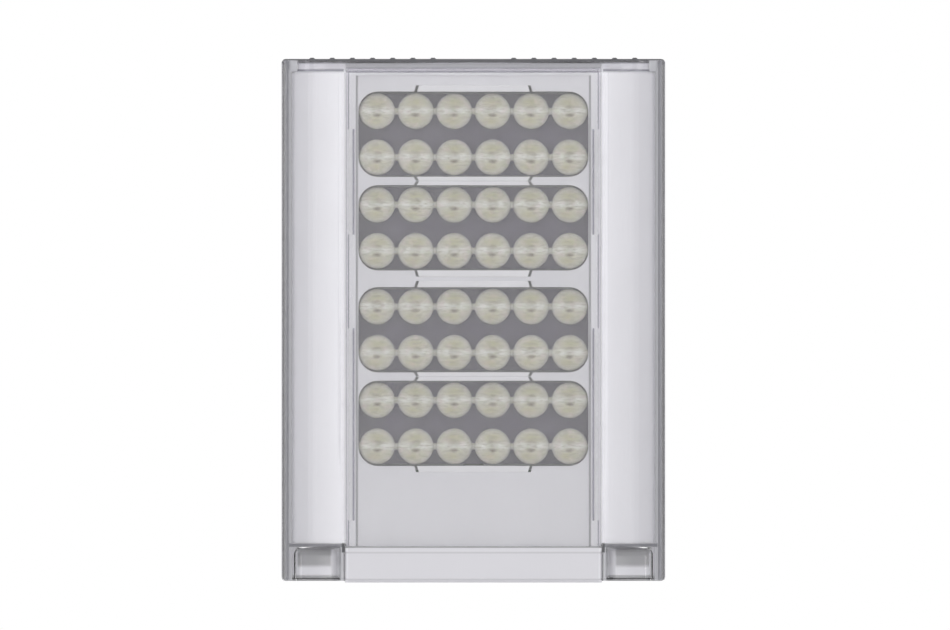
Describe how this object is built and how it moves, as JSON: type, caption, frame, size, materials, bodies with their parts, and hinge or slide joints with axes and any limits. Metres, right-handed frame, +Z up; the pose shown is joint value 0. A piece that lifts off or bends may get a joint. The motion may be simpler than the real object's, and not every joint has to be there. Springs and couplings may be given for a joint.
{
  "type": "led wall light",
  "caption": "Upright lamp with rows of LED optics behind a clear ribbed-edge cover, a clear insert sliding out of its front, and a finned cast back tilting on a wall bracket.",
  "frame": {"origin": "middle of the bracket's rear face, on the wall plane, behind the middle of the lamp", "axes": "+Z up; the front faces -Y; +Y into the wall; +X to the right as seen from the front"},
  "size_m": [0.23, 0.16, 0.3143],
  "materials": {
    "bracket_paint": "satin grey powder coat on folded steel",
    "zinc": "zinc plated",
    "housing_paint": "satin grey powder coat on cast aluminium",
    "black_rubber": "matt",
    "clear_plastic": "clear, glossy",
    "insert_plastic": "clear, glossy",
    "pane_plastic": "clear, finely grained so that it spreads the light",
    "silver_plastic": "satin silver paint",
    "lens_plastic": "clear moulded optic",
    "gland_plastic": "matt black",
    "circuit_board": "green solder mask",
    "transformer_tape": "yellow tape over windings",
    "terminal_plastic": "green moulding",
    "connector_plastic": "off-white moulding",
    "component_black": "black moulding",
    "capacitor_sleeve": "dark blue sleeve",
    "choke_winding": "enamelled copper wire",
    "fuse_ceramic": "white ceramic",
    "led_board": "grey solder mask on an aluminium core",
    "thermal_pad": "grey silicone",
    "led_phosphor": "yellow phosphor in a white frame"
  },
  "bodies": {
    "wall_bracket": {"wall_bracket": "bracket_paint", "pivot_bolt": "zinc", "pivot_nut": "zinc"},
    "lamp": {"rear_housing": "housing_paint", "cover_gasket": "black_rubber", "front_cover": "clear_plastic", "front_bezel": "silver_plastic", "window_panes": "pane_plastic", "collimator_lenses": "lens_plastic", "gland_body": "gland_plastic", "gland_nut": "gland_plastic", "gland_seal": "black_rubber", "driver_board": "circuit_board", "transformer": "transformer_tape", "input_terminal": "terminal_plastic", "output_connector": "connector_plastic", "power_transistors": "component_black", "smoothing_capacitor": "capacitor_sleeve", "filter_choke": "choke_winding", "input_fuse": "fuse_ceramic", "led_board_1": "led_board", "thermal_pad_1": "thermal_pad", "led_packages_1": "led_phosphor", "led_board_2": "led_board", "thermal_pad_2": "thermal_pad", "led_packages_2": "led_phosphor", "led_board_3": "led_board", "thermal_pad_3": "thermal_pad", "led_packages_3": "led_phosphor", "led_board_4": "led_board", "thermal_pad_4": "thermal_pad", "led_packages_4": "led_phosphor"},
    "insert": {"lens_insert": "insert_plastic"}
  },
  "joints": [
    {"name": "bracket_tilt", "type": "hinge", "parent": "wall_bracket", "child": "lamp", "pos_m": [0, -0.068, 0], "axis": [1, 0, 0], "range_deg": [-30, 30]},
    {"name": "insert_slide", "type": "slide", "parent": "lamp", "child": "insert", "axis": [0, 0, -1], "range_m": [0, 0.3]}
  ]
}
